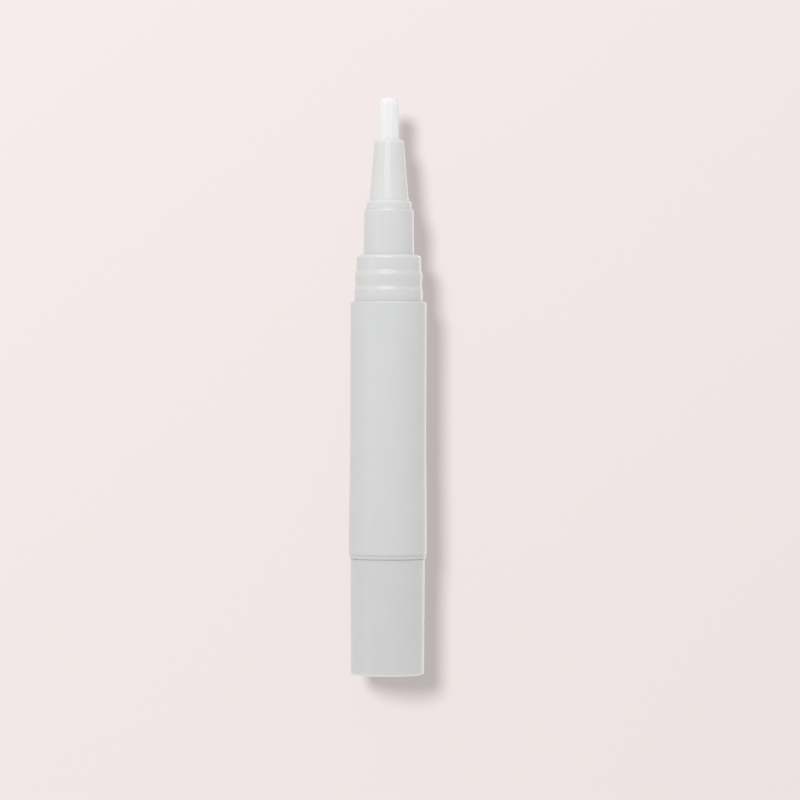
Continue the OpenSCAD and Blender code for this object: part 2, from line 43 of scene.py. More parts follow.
# Turned pieces
SEGMENTS = 192
ARC_STEPS = 10
SOFT_STEPS = 14
SHARP_ANGLE = math.radians(35)
SUPPORT_LEN = 0.12 * MM
LONG_SIDE = 0.5 * MM
INNER_EDGE_R = 0.08 * MM

# Barrel sleeve
SLEEVE_WALL = 0.9 * MM
FLARE_LEN = 20 * MM
FLARE_STEP = 0.15 * MM
SEAT_DEPTH = 0.3 * MM
RIM_EDGE_W = 0.3 * MM
RIM_EDGE_H = 0.3 * MM
FOOT_EDGE_W = 0.1 * MM
FOOT_EDGE_H = 0.35 * MM

# Collar, neck and reservoir, which are one moulding
RIB_H = 2.6 * MM
RIB_CREST_SHARE = 0.4
RIM_LEDGE_W = 0.67 * MM
LOWER_RIB_OUT = 0.03 * MM
LOWER_GROOVE_IN = 0.15 * MM
LOWER_SHOULDER_H = 0.75 * MM
MIDDLE_RIB_IN = 0.02 * MM
MIDDLE_SHOULDER_H = 0.95 * MM
UPPER_GROOVE_IN = 0.24 * MM
UPPER_GROOVE_UP = 0.15 * MM
SHOULDER_IN = 0.29 * MM
SHOULDER_W = 0.62 * MM
SHOULDER_H = 0.6 * MM
NECK_R = 4.2 * MM
NECK_WALL = 0.95 * MM
NECK_DRAFT = 0.07 * MM
NECK_DRAFT_LEN = 5.5 * MM
NECK_EDGE_W = 0.14 * MM
NECK_EDGE_H = 0.5 * MM
SLIP_CLEAR = 0.05 * MM
CHAMBER_WALL = 0.65 * MM
CHAMBER_REACH = 1.6 * MM
CHAMBER_CONE_H = 1.5 * MM

# Nozzle
RING_H = 1.4 * MM
RING_FOOT_IN = 0.03 * MM
RING_FOOT_W = 0.12 * MM
RING_FOOT_H = 0.45 * MM
RING_EDGE_W = 0.3 * MM
RING_EDGE_H = 0.35 * MM
RING_LEDGE_W = 0.61 * MM
CONE_DRAFT = 0.87 * MM
CONE_EDGE_R = 0.5 * MM
PLUG_R = 3.22 * MM
SEAL_GROOVE_W = 1.0 * MM
SEAL_GROOVE_DEPTH = 0.9 * MM
MOUTH_LIP_H = 1.0 * MM
MOUTH_BORE_R = 1.66 * MM
NOZZLE_BORE_R = 1.95 * MM

# Brush. A strand's levels are shares of its height. Its dome is pairs of a height and a radius, both
# as shares of the strand's radius
BRUSH_SEED = 7
BACKING_H = 1.0 * MM
BACKING_HOLE_R = 0.25 * MM
STRAND_ROOT = 0.5 * MM
STRAND_R = 0.06 * MM
STRAND_PITCH = 0.086 * MM
STRAND_SHIFT = 0.013 * MM
STRAND_SIDES = 6
STRAND_LEVELS = (0.0, 0.45, 0.55, 0.65, 0.75, 0.85, 0.93, 1.0)
STRAND_DOME = ((0.5, 0.8), (0.8, 0.4))
ROOT_R = 1.55 * MM
MOUTH_R = 1.64 * MM
TIP_R = 1.54 * MM
TIP_FLAT_R = 0.7 * MM
TIP_ROUND_H = 0.85 * MM
WANDER = 0.013 * MM
CLUMP_SIZE = 0.5 * MM
CLUMP_PULL = 0.02 * MM
SHORTFALL = 0.08 * MM
SHORTFALL_SPREAD = 0.4

# Knob
KNOB_DRAFT = 0.1 * MM
KNOB_WALL = 1.05 * MM
KNOB_FLOOR = 1.0 * MM
KNOB_EDGE_R = 0.3 * MM
KNOB_LIP_R = 0.1 * MM
KNOB_LIP_UP = 0.08 * MM
BOSS_H = 8 * MM
BOSS_R = 4.18 * MM
BOSS_BORE_R = 3.43 * MM
KEY_SLOT_R = 3.76 * MM
KEY_SLOT_W = 1.26 * MM
GATE_R = 0.9 * MM
GATE_DEPTH = 0.12 * MM

# Camera, for the photograph's frame of 800 by 800. Its sensor and lens are in millimetres
CAMERA_AT = Vector((1.95 * MM, -567 * MM, 45.67 * MM))
CAMERA_ROLL = math.radians(-0.2)
SENSOR_W = 36.0
LENS = 153.1
CLIP_START = 10 * MM
CLIP_END = 10

# Stage: a card behind the pen and a floor under it, both of the same paper
STAGE_ALBEDO = 0.06
SQUARE = ((-1, -1), (1, -1), (1, 1), (-1, 1))
CARD_Y = 9 * MM
CARD_REACH = 72 * MM
CARD_FADE = 14 * MM
# Half-span of the card's painted light falloff
CARD_FALLOFF_REACH = 133 * MM
FLOOR_Z = -0.02 * MM
FLOOR_REACH = 26 * MM
FLOOR_FADE = 34 * MM

# The pen's shadow on the stage: the way that the light goes, its blur, and its share of the light
SHADOW_WAY = Vector((2.86 * MM, CARD_Y, -2.93 * MM)).normalized()
SHADOW_BLUR = math.radians(15.5)
SHADOW_SHARE = 0.41

# Level of the other light on the floor, where the card's is 1
FLOOR_LIGHT = 0.87

# Painted shade on the floor: the pen's shadow from its foot to the card, whose fade is a share of
# the soft edge, and a painted contact shade in a ring round the foot
FOOT_SHADE_START = 1 * MM
FOOT_SHADE_SHARE = 0.95
FOOT_SHADE_FADE = 0.6
CONTACT_SHADE_REACH = 6.2 * MM
CONTACT_SHADE_FADE = 0.6 * MM
CONTACT_SHADE_SHARE = 0.1

# Materials
NOISE_LOW = 0.3
NOISE_HIGH = 0.7
MOTTLE = 0.012
MOTTLE_SIZE = 5 * MM
WAVE_SIZE = 2.6 * MM
WAVE_DEPTH = 0.004 * MM
ROUGHNESS_SPREAD = 0.03
GLOW_RADIUS = (1.0, 0.95, 0.9)
GLOW_SCALE = 0.8 * MM
LENGTHWISE = (1, 1, 0.02)
FIBRE_STREAK = 0.12 * MM
STEEL_LINE = 0.03 * MM

# Light on the object
PEN_MIDDLE = Vector((0, 0, 48 * MM))
WORLD_LEVEL = 0.74
COOL_WHITE = (0.94, 1.0, 1.08)
WARM_WHITE = (1.0, 0.997, 0.975)


def srgb(red, green, blue):
    """Linear colour of an sRGB one whose channels run from 0 to 255."""
    def linear(value):
        value /= 255
        return value / 12.92 if value <= 0.04045 else ((value + 0.055) / 1.055) ** 2.4
    return (linear(red), linear(green), linear(blue), 1.0)


# Ends of the card's painted light falloff: lighter at the upper left, darker at the lower right
BACKDROP_PAINTED_LIT = srgb(246, 236, 235)
BACKDROP_PAINTED_SHADE = srgb(237, 227, 226)
BACKDROP = srgb(242, 232, 231)
# Colour of the painted contact shade, a dark ring round the pen's foot on the floor
CONTACT_SHADE_COLOUR = srgb(120, 112, 111)


def arc(centre, width, height, start, end):
    """Points of an elliptical arc in a profile of radius and height, with angles in degrees."""
    angles = [math.radians(start + (end - start) * i / ARC_STEPS) for i in range(ARC_STEPS + 1)]
    return [(centre[0] + width * math.cos(a), centre[1] + height * math.sin(a)) for a in angles]


def soft(start, end):
    """Points of a soft S from one point of a profile to another, without its last point."""
    shares = [i / SOFT_STEPS for i in range(SOFT_STEPS)]
    return [(start[0] + (end[0] - start[0]) * (1 - math.cos(math.pi * t)) / 2,
             start[1] + (end[1] - start[1]) * t) for t in shares]


def supported(profile):
    """The profile with a point near each end of its long sides, so that only edges shade round."""
    points = []
    for here, there in zip(profile, profile[1:] + profile[:1]):
        here = Vector(here)
        there = Vector(there)
        points.append(tuple(here))
        if (there - here).length > LONG_SIDE:
            step = (there - here).normalized() * SUPPORT_LEN
            points += [tuple(here + step), tuple(there - step)]
    return points


def turned_mesh(profile):
    """A bmesh turned round the axis from a closed profile of (radius, height) points."""
    mesh = bmesh.new()
    turns = [2 * math.pi * i / SEGMENTS for i in range(SEGMENTS)]
    rings = []
    for radius, height in supported(profile):
        if radius == 0:
            rings.append([mesh.verts.new((0, 0, height))])
        else:
            rings.append([mesh.verts.new((radius * math.cos(a), radius * math.sin(a), height))
                          for a in turns])
    for here, there in zip(rings, rings[1:] + rings[:1]):
        if len(here) + len(there) == 2:
            continue
        for i in range(SEGMENTS):
            j = i + 1
            corners = [here[i % len(here)], here[j % len(here)],
                       there[j % len(there)], there[i % len(there)]]
            mesh.faces.new(list(dict.fromkeys(corners)))
    bmesh.ops.recalc_face_normals(mesh, faces=mesh.faces)
    return mesh


def piece(name, mesh, material, body, nodes):
    """Makes an object of a bmesh, with creases, that rides on a body and replaces CAD nodes."""
    for face in mesh.faces:
        face.smooth = True
    for edge in mesh.edges:
        edge.smooth = len(edge.link_faces) == 2 and edge.calc_face_angle() < SHARP_ANGLE
    data = bpy.data.meshes.new(name)
    mesh.to_mesh(data)
    mesh.free()
    data.materials.append(material)
    made = bpy.data.objects.new(name, data)
    bpy.context.scene.collection.objects.link(made)
    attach(made, body)
    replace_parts(made, *nodes)
    return made


class Nodes:
    """A short way to write a material's or world's node tree."""

    def __init__(self, owner):
        owner.use_nodes = True
        self.tree = owner.node_tree
        self.tree.nodes.clear()

    def add(self, kind, settings=None, **inputs):
        """Adds a node, sets its properties, and sets or links its inputs.

        An input is given by its name, with _ for a space, or by its number after a _.
        """
        made = self.tree.nodes.new(kind)
        for name, value in (settings or {}).items():
            setattr(made, name, value)
        for name, value in inputs.items():
            socket = made.inputs[int(name[1:]) if name[0] == "_" else name.replace("_", " ")]
            if isinstance(value, bpy.types.NodeSocket):
                self.tree.links.new(value, socket)
            else:
                socket.default_value = value
        return made

    def noise(self, where, size, detail=2.0, roughness=0.5):
        """A noise of features of a size in metres, as a factor."""
        made = self.add("ShaderNodeTexNoise", Vector=where, Scale=1 / size, Detail=detail,
                        Roughness=roughness)
        return made.outputs["Fac"]

    def ramp(self, factor, low, high):
        """The middle stretch of a noise's factor turned into a value from low to high."""
        made = self.add("ShaderNodeMapRange", _0=factor, _1=NOISE_LOW, _2=NOISE_HIGH, _3=low,
                        _4=high)
        return made.outputs[0]

    def mix(self, factor, first, second):
        """A mix of two colours."""
        made = self.add("ShaderNodeMix", {"data_type": "RGBA"}, _0=factor, _6=first, _7=second)
        return made.outputs[2]

    def math(self, operation, *values):
        """The result of a math operation on one to three values."""
        inputs = {f"_{i}": value for i, value in enumerate(values)}
        return self.add("ShaderNodeMath", {"operation": operation}, **inputs).outputs[0]


def scaled(colour, share):
    """A colour made darker or lighter by a share."""
    return tuple(channel * share for channel in colour[:3]) + (1.0,)


def plastic(name, colour, roughness, translucency=0.0, grain_size=0.16 * MM,
            grain_depth=0.0006 * MM, shine=0.5):
    """Moulded plastic: faint mottle, satin grain, and the slow waves of a moulded skin."""
    made = bpy.data.materials.new(name)
    nodes = Nodes(made)
    where = nodes.add("ShaderNodeTexCoord").outputs["Object"]
    cloud = nodes.noise(where, MOTTLE_SIZE, detail=3.0)
    grain = nodes.noise(where, grain_size, detail=3.0, roughness=0.6)
    wave = nodes.noise(where, WAVE_SIZE, detail=1.0)
    skin = nodes.add("ShaderNodeBump", Strength=1.0, Distance=WAVE_DEPTH, Height=wave)
    satin = nodes.add("ShaderNodeBump", Strength=1.0, Distance=grain_depth, Height=grain,
                      Normal=skin.outputs[0])
    shader = nodes.add(
        "ShaderNodeBsdfPrincipled",
        Base_Color=nodes.mix(nodes.ramp(cloud, 0.0, 1.0), scaled(colour, 1 - MOTTLE),
                             scaled(colour, 1 + MOTTLE)),
        Roughness=nodes.ramp(grain, roughness - ROUGHNESS_SPREAD, roughness + ROUGHNESS_SPREAD),
        Normal=satin.outputs[0],
    )
    shader.inputs["Specular IOR Level"].default_value = shine
    if translucency:
        shader.inputs["Subsurface Weight"].default_value = translucency
        shader.inputs["Subsurface Radius"].default_value = GLOW_RADIUS
        shader.inputs["Subsurface Scale"].default_value = GLOW_SCALE
    nodes.add("ShaderNodeOutputMaterial", Surface=shader.outputs[0])
    return made


def fibre():
    """White nylon fibre: bright, slightly glossy, each strand a little different from the next."""
    made = bpy.data.materials.new("white_nylon_fibre")
    nodes = Nodes(made)
    where = nodes.add("ShaderNodeTexCoord").outputs["Object"]
    along = nodes.add("ShaderNodeVectorMath", {"operation": "MULTIPLY"}, _0=where, _1=LENGTHWISE)
    streak = nodes.noise(along.outputs[0], FIBRE_STREAK, detail=2.0)
    shader = nodes.add(
        "ShaderNodeBsdfPrincipled",
        Base_Color=nodes.mix(nodes.ramp(streak, 0.0, 1.0), srgb(243, 242, 241),
                             srgb(250, 249, 248)),
        Roughness=nodes.ramp(streak, 0.3, 0.42),
    )
    nodes.add("ShaderNodeOutputMaterial", Surface=shader.outputs[0])
    return made


def steel():
    """Drawn stainless tube: fine lines along the tube."""
    made = bpy.data.materials.new("drawn_steel")
    nodes = Nodes(made)
    where = nodes.add("ShaderNodeTexCoord").outputs["Object"]
    along = nodes.add("ShaderNodeVectorMath", {"operation": "MULTIPLY"}, _0=where, _1=LENGTHWISE)
    line = nodes.noise(along.outputs[0], STEEL_LINE, detail=3.0)
    shader = nodes.add(
        "ShaderNodeBsdfPrincipled",
        Base_Color=nodes.mix(line, srgb(205, 207, 210), srgb(226, 228, 231)),
        Roughness=nodes.ramp(line, 0.2, 0.34),
        Metallic=1.0,
    )
    nodes.add("ShaderNodeOutputMaterial", Surface=shader.outputs[0])
    return made


def make_materials():
    """The material of each of the record's slots."""
    return {
        "sleeve_plastic": plastic("satin_sleeve", srgb(216, 216, 217), 0.25),
        "collar_plastic": plastic("smooth_collar", srgb(219, 219, 219), 0.15, translucency=0.5,
                                  grain_depth=0.0002 * MM, shine=0.9),
        "knob_plastic": plastic("satin_knob", srgb(215, 215, 216), 0.25, translucency=0.5),
        "bush_plastic": plastic("satin_bush", srgb(213, 213, 213), 0.25, translucency=0.5),
        "nozzle_plastic": plastic("glossy_nozzle", srgb(224, 223, 222), 0.09, translucency=0.5,
                                  grain_depth=0.0001 * MM, shine=0.45),
        "brush_fibre": fibre(),
        "inner_plastic": plastic("natural_acetal", srgb(234, 233, 226), 0.33, translucency=0.15),
        "piston_plastic": plastic("waxy_polyethylene", srgb(226, 230, 226), 0.46,
                                  translucency=0.35),
        "seal_rubber": plastic("seal_silicone", srgb(196, 199, 199), 0.38, translucency=0.4,
                               grain_size=0.08 * MM),
        "feed_steel": steel(),
    }


def make_sleeve(material):
    """The outer casing: a flared foot, a rounded rim and the recess for the collar's foot."""
    low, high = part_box("barrel_sleeve")
    foot_r = high.x
    top_r = foot_r - FLARE_STEP
    bore_r = top_r - SLEEVE_WALL
    recess_r = top_r - RIM_LEDGE_W + LOWER_RIB_OUT + SLIP_CLEAR
    seat_z = high.z - SEAT_DEPTH
    flare_z = low.z + FLARE_LEN
    profile = (
        arc((foot_r - FOOT_EDGE_W, low.z + FOOT_EDGE_H), FOOT_EDGE_W, FOOT_EDGE_H, -90, 0)
        + soft((foot_r, low.z + 2 * FOOT_EDGE_H), (top_r, flare_z))
        + [(top_r, flare_z)]
        + arc((top_r - RIM_EDGE_W, high.z - RIM_EDGE_H), RIM_EDGE_W, RIM_EDGE_H, 0, 90)
        + arc((recess_r + INNER_EDGE_R, high.z - INNER_EDGE_R), INNER_EDGE_R, INNER_EDGE_R, 90, 180)
        + [(recess_r, seat_z), (bore_r, seat_z)]
        + arc((bore_r + INNER_EDGE_R, low.z + INNER_EDGE_R), INNER_EDGE_R, INNER_EDGE_R, 180, 270)
    )
    return piece("sleeve_shell", turned_mesh(profile), material, "barrel",
                 ["barrel_sleeve"])


def make_collar(material):
    """The collar with three soft ribs, the neck over it, and the reservoir tube below."""
    low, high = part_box("reservoir_tube")
    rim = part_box("barrel_sleeve")[1]
    collar_r = rim.x - FLARE_STEP - RIM_LEDGE_W
    reservoir_r = rim.x - FLARE_STEP - SLEEVE_WALL - SLIP_CLEAR
    chamber_r = reservoir_r - CHAMBER_WALL
    neck_bore_r = NECK_R - NECK_WALL
    lower_groove_z = rim.z + RIB_H
    upper_groove_z = lower_groove_z + RIB_H + UPPER_GROOVE_UP
    neck_z = rim.z + 3 * RIB_H
    shoulder_r = collar_r - SHOULDER_IN
    mouth_r = NECK_R - NECK_DRAFT
    chamber_top_z = rim.z + CHAMBER_REACH
    lower_rib_r = collar_r + LOWER_RIB_OUT
    lower_groove_r = collar_r - LOWER_GROOVE_IN
    middle_rib_r = collar_r - MIDDLE_RIB_IN
    upper_groove_r = collar_r - UPPER_GROOVE_IN
    profile = (
        [(reservoir_r, low.z), (reservoir_r, rim.z - SEAT_DEPTH), (collar_r, rim.z - SEAT_DEPTH)]
        + soft((collar_r, rim.z), (lower_rib_r, rim.z + RIB_CREST_SHARE * RIB_H))
        + soft((lower_rib_r, lower_groove_z - LOWER_SHOULDER_H), (lower_groove_r, lower_groove_z))
        + soft((lower_groove_r, lower_groove_z), (middle_rib_r, upper_groove_z - MIDDLE_SHOULDER_H))
        + soft((middle_rib_r, upper_groove_z - MIDDLE_SHOULDER_H), (upper_groove_r, upper_groove_z))
        + soft((upper_groove_r, upper_groove_z), (shoulder_r, neck_z - SHOULDER_H))
        + arc((shoulder_r - SHOULDER_W, neck_z - SHOULDER_H), SHOULDER_W, SHOULDER_H, 0, 90)
        + [(NECK_R, neck_z), (NECK_R, high.z - NECK_EDGE_H - NECK_DRAFT_LEN)]
        + arc((mouth_r - NECK_EDGE_W, high.z - NECK_EDGE_H), NECK_EDGE_W, NECK_EDGE_H, 0, 90)
        + [(neck_bore_r, high.z), (neck_bore_r, chamber_top_z + CHAMBER_CONE_H),
           (chamber_r, chamber_top_z), (chamber_r, low.z)]
    )
    return piece("collar_moulding", turned_mesh(profile), material, "barrel",
                 ["reservoir_tube"])


def make_nozzle(material):
    """The cone round the brush, its ring on the neck, and the plug with the seal's groove."""
    low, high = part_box("nozzle_cone")
    ring_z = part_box("reservoir_tube")[1].z
    ring_foot_r = high.x - RING_FOOT_IN
    ring_side_r = ring_foot_r - RING_FOOT_W
    cone_z = ring_z + RING_H
    cone_r = high.x - RING_LEDGE_W
    mouth_r = cone_r - CONE_DRAFT
    slope = CONE_DRAFT / (high.z - cone_z)
    groove_z = (low.z + ring_z) / 2
    groove_r = PLUG_R - SEAL_GROOVE_DEPTH
    profile = (
        [(PLUG_R, low.z), (PLUG_R, groove_z - SEAL_GROOVE_W / 2),
         (groove_r, groove_z - SEAL_GROOVE_W / 2), (groove_r, groove_z + SEAL_GROOVE_W / 2),
         (PLUG_R, groove_z + SEAL_GROOVE_W / 2), (PLUG_R, ring_z)]
        + soft((ring_foot_r, ring_z), (ring_side_r, ring_z + RING_FOOT_H))
        + arc((ring_side_r - RING_EDGE_W, cone_z - RING_EDGE_H), RING_EDGE_W, RING_EDGE_H, 0, 90)
        + [(cone_r, cone_z)]
        + arc((mouth_r + slope * CONE_EDGE_R - CONE_EDGE_R, high.z - CONE_EDGE_R),
              CONE_EDGE_R, CONE_EDGE_R, 0, 90)
        + arc((MOUTH_BORE_R + INNER_EDGE_R, high.z - INNER_EDGE_R), INNER_EDGE_R, INNER_EDGE_R,
              90, 180)
        + [(MOUTH_BORE_R, high.z - MOUTH_LIP_H), (NOZZLE_BORE_R, high.z - MOUTH_LIP_H),
           (NOZZLE_BORE_R, low.z)]
    )
    return piece("nozzle_moulding", turned_mesh(profile), material, "barrel",
                 ["nozzle_cone"])


def brush_radius(z, root_z, mouth_z, top_z):
    """Radius of the bundle of strands at a height."""
    if z < mouth_z:
        return ROOT_R + (MOUTH_R - ROOT_R) * (z - root_z) / (mouth_z - root_z)
    return MOUTH_R + (TIP_R - MOUTH_R) * (z - mouth_z) / (top_z - mouth_z)


def strand_places(draw):
    """Places of the strands at the root: an uneven honeycomb round the hole for the oil."""
    rows = math.ceil(ROOT_R / STRAND_PITCH) + 2
    row_step = math.sin(math.radians(60)) * STRAND_PITCH
    places = []
    for row in range(-rows, rows + 1):
        for column in range(-rows, rows + 1):
            place = Vector(((column + 0.5 * (row % 2)) * STRAND_PITCH, row * row_step))
            place += Vector((draw.uniform(-1, 1), draw.uniform(-1, 1))) * STRAND_SHIFT
            if BACKING_HOLE_R + STRAND_R < place.length < ROOT_R - STRAND_R:
                places.append(place)
    return places


def add_strand(mesh, points, radius):
    """Adds one strand with a domed tip along points from its root up."""
    levels = [(point, radius) for point in points]
    tip = points[-1]
    levels += [(tip + Vector((0, 0, radius * height)), radius * width)
               for height, width in STRAND_DOME]
    turns = [2 * math.pi * k / STRAND_SIDES for k in range(STRAND_SIDES)]
    rings = [[mesh.verts.new(centre + Vector((size * math.cos(a), size * math.sin(a), 0)))
              for a in turns] for centre, size in levels]
    mesh.faces.new(reversed(rings[0]))
    mesh.faces.new(rings[-1])
    for here, there in zip(rings, rings[1:]):
        for k in range(STRAND_SIDES):
            n = (k + 1) % STRAND_SIDES
            mesh.faces.new((here[k], here[n], there[n], there[k]))


def make_brush(material):
    """The brush: fine nylon strands that stand in a backing disc."""
    draw = random.Random(BRUSH_SEED)
    noise.seed_set(BRUSH_SEED)
    low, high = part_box("brush_tuft")
    mouth_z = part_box("nozzle_cone")[1].z
    backing_top = low.z + BACKING_H
    root_z = backing_top - STRAND_ROOT
    round_w = TIP_R - STRAND_R - TIP_FLAT_R
    mesh = turned_mesh([(BACKING_HOLE_R, low.z), (ROOT_R, low.z), (ROOT_R, backing_top),
                        (BACKING_HOLE_R, backing_top)])
    for place in strand_places(draw):
        wide = place * (TIP_R / ROOT_R)
        over = min(1.0, max(0.0, (wide.length - TIP_FLAT_R) / round_w))
        drop = TIP_ROUND_H * (1 - math.sqrt(1 - over * over))
        top_z = high.z - STRAND_R - drop - abs(draw.gauss(0, SHORTFALL_SPREAD)) * SHORTFALL
        lean = Vector((draw.gauss(0, 1), draw.gauss(0, 1))) * WANDER
        pull = noise.noise_vector(Vector((place.x, place.y, 0)) / CLUMP_SIZE).to_2d() * CLUMP_PULL
        points = []
        for share in STRAND_LEVELS:
            z = root_z + (top_z - root_z) * share
            limit = brush_radius(z, root_z, mouth_z, high.z)
            free = max(0.0, (z - mouth_z) / (high.z - mouth_z))
            spot = place * (limit / ROOT_R) + (lean + pull) * free
            reach = limit - STRAND_R
            if spot.length > reach:
                spot *= reach / spot.length
            points.append(Vector((spot.x, spot.y, z)))
        add_strand(mesh, points, STRAND_R)
    return piece("brush_strands", mesh, material, "barrel", ["brush_tuft"])


def make_knob(material):
    """The closed cup at the end, with the boss and key slots inside and a gate mark underneath."""
    low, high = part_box("twist_knob")
    top_r = high.x
    foot_r = top_r - KNOB_DRAFT
    bore_r = top_r - KNOB_WALL
    boss_z = KNOB_FLOOR + BOSS_H
    lip_z = high.z + KNOB_LIP_UP
    profile = (
        [(0, GATE_DEPTH)]
        + arc((GATE_R - GATE_DEPTH, 0), GATE_DEPTH, GATE_DEPTH, 90, 0)
        + arc((foot_r - KNOB_EDGE_R, KNOB_EDGE_R), KNOB_EDGE_R, KNOB_EDGE_R, -90, 0)
        + arc((top_r - KNOB_LIP_R, lip_z - KNOB_LIP_R), KNOB_LIP_R, KNOB_LIP_R, 0, 90)
        + arc((bore_r + INNER_EDGE_R, lip_z - INNER_EDGE_R), INNER_EDGE_R, INNER_EDGE_R, 90, 180)
        + [(bore_r, KNOB_FLOOR), (BOSS_R, KNOB_FLOOR), (BOSS_R, boss_z), (BOSS_BORE_R, boss_z),
           (BOSS_BORE_R, KNOB_FLOOR), (0, KNOB_FLOOR)]
    )
    knob = piece("knob_cup", turned_mesh(profile), material, "knob",
                 ["twist_knob"])
    cut_key_slots(knob, boss_z)
    return knob


def cut_key_slots(knob, boss_z):
    """Cuts the two slots that the drive sleeve's ribs sit in out of the knob's boss."""
    mesh = bmesh.new()
    bmesh.ops.create_cube(mesh, size=1)
    height = BOSS_H + KNOB_FLOOR
    bmesh.ops.scale(mesh, vec=(2 * KEY_SLOT_R, KEY_SLOT_W, height), verts=mesh.verts)
    bmesh.ops.translate(mesh, vec=(0, 0, KNOB_FLOOR + height / 2), verts=mesh.verts)
    data = bpy.data.meshes.new("key_slots")
    mesh.to_mesh(data)
    mesh.free()
    cutter = bpy.data.objects.new("key_slots", data)
    bpy.context.scene.collection.objects.link(cutter)
    cut = knob.modifiers.new("key_slots", "BOOLEAN")
    cut.operation = "DIFFERENCE"
    cut.solver = "EXACT"
    cut.object = cutter
    bpy.context.view_layer.update()
    evaluated = knob.evaluated_get(bpy.context.evaluated_depsgraph_get())
    shape = bpy.data.meshes.new_from_object(evaluated)
    knob.modifiers.remove(cut)
    knob.data = shape
    bpy.data.objects.remove(cutter)


def dress_inside(record, nodes, materials, replaced):
    """Gives the CAD nodes that stay as they are their materials."""
    slots = {row["node"]: row["material_slot"] for row in record["subparts"]}
    for name, node in nodes.items():
        if name not in replaced:
            for held in node.material_slots:
                held.material = materials[slots[name]]


def make_camera():
    """The camera at the photograph's viewing angle."""
    data = bpy.data.cameras.new("camera")
    data.sensor_width = SENSOR_W
    data.lens = LENS
    data.clip_start = CLIP_START
    data.clip_end = CLIP_END
    made = bpy.data.objects.new("camera", data)
    made.location = CAMERA_AT
    made.rotation_euler = (math.radians(90), CAMERA_ROLL, 0)
    bpy.context.scene.collection.objects.link(made)
    bpy.context.scene.camera = made


def make_world():
    """White light on the object, and the pale backdrop's colour for what looks at it."""
    world = bpy.data.worlds.new("studio")
    bpy.context.scene.world = world
    nodes = Nodes(world)
    path = nodes.add("ShaderNodeLightPath").outputs
    seen = nodes.math("MAXIMUM", path["Is Camera Ray"], path["Is Glossy Ray"])
    seen = nodes.math("MAXIMUM", seen, path["Is Transmission Ray"])
    light = nodes.add("ShaderNodeBackground", Color=WARM_WHITE + (1,), Strength=WORLD_LEVEL)
    shown = nodes.add("ShaderNodeBackground", Color=BACKDROP, Strength=1.0)
    both = nodes.add("ShaderNodeMixShader", _0=seen, _1=light.outputs[0], _2=shown.outputs[0])
    nodes.add("ShaderNodeOutputWorld", Surface=both.outputs[0])
    world.cycles.sampling_method = "NONE"


def aim(lamp, where, target):
    """Puts a lamp somewhere and points it at a target."""
    lamp.location = where
    lamp.rotation_mode = "QUATERNION"
    lamp.rotation_quaternion = (Vector(target) - Vector(where)).to_track_quat("-Z", "Y")
    bpy.context.scene.collection.objects.link(lamp)


def area_lamp(name, azimuth, elevation, distance, size, level, colour):
    """A soft lamp round the middle of the pen. Level is the light that it adds to a facing side."""
    data = bpy.data.lights.new(name, "AREA")
    data.shape = "RECTANGLE"
    data.size, data.size_y = size
    data.energy = level * math.pi * math.pi * distance * distance
    data.color = colour
    lamp = bpy.data.objects.new(name, data)
    a = math.radians(azimuth)
    e = math.radians(elevation)
    way = Vector((math.sin(a) * math.cos(e), -math.cos(a) * math.cos(e), math.sin(e)))
    aim(lamp, PEN_MIDDLE + way * distance, PEN_MIDDLE)
    lamp.visible_camera = False
    return lamp


def make_lamps():
    """The key and a light above it, both a little left of the camera, and three round the pen.

    Those are a fill from the left, the light that a pale floor throws back, and an edge light from
    behind right.
    """
    area_lamp("key", azimuth=-11, elevation=28, distance=0.3, size=(0.2, 0.095), level=0.15,
              colour=COOL_WHITE)
    area_lamp("top_light", azimuth=-12, elevation=54, distance=0.24, size=(0.28, 0.12), level=0.2,
              colour=COOL_WHITE)
    area_lamp("left_fill", azimuth=-60, elevation=8, distance=0.9, size=(0.5, 0.7), level=0.03,
              colour=WARM_WHITE)
    bounce = area_lamp("floor_bounce", azimuth=0, elevation=-88, distance=0.12, size=(0.08, 0.03),
                       level=0.17, colour=WARM_WHITE)
    bounce.visible_glossy = False
    area_lamp("right_rim", azimuth=150, elevation=4, distance=0.6, size=(0.24, 0.5), level=0.05,
              colour=WARM_WHITE)


def shadow_lamp(*stage):
    """A soft sun that lights only the stage, for the shadow right of and under the pen."""
    data = bpy.data.lights.new("stage_sun", "SUN")
    data.energy = SHADOW_SHARE * math.pi / (STAGE_ALBEDO * SHADOW_WAY.y)
    data.angle = SHADOW_BLUR
    lamp = bpy.data.objects.new("stage_sun", data)
    aim(lamp, -SHADOW_WAY, (0, 0, 0))
    lit = bpy.data.collections.new("lit_by_stage_sun")
    for made in stage:
        lit.objects.link(made)
    lamp.light_linking.receiver_collection = lit


def stage_plane(name, corners, material):
    """A plane of the stage, which only the camera sees."""
    data = bpy.data.meshes.new(name)
    data.from_pydata(corners, [], [(0, 1, 2, 3)])
    data.materials.append(material)
    made = bpy.data.objects.new(name, data)
    bpy.context.scene.collection.objects.link(made)
    for kind in ("diffuse", "glossy", "transmission", "volume_scatter", "shadow"):
        setattr(made, "visible_" + kind, False)
    return made


def fade(nodes, distance, reach, width):
    """A factor of 1 within reach and 0 beyond reach and width."""
    made = nodes.add("ShaderNodeMapRange", {"interpolation_type": "SMOOTHSTEP"}, _0=distance,
                     _1=reach, _2=reach + width, _3=1.0, _4=0.0)
    return made.outputs[0]


def paper(nodes, colour, reflected, strength):
    """Pale paper that glows with a strength, and takes the shadow in what it reflects."""
    lit = nodes.add("ShaderNodeBsdfDiffuse", Color=reflected)
    glow = nodes.add("ShaderNodeEmission", Color=colour, Strength=strength)
    return nodes.add("ShaderNodeAddShader", _0=lit.outputs[0], _1=glow.outputs[0]).outputs[0]


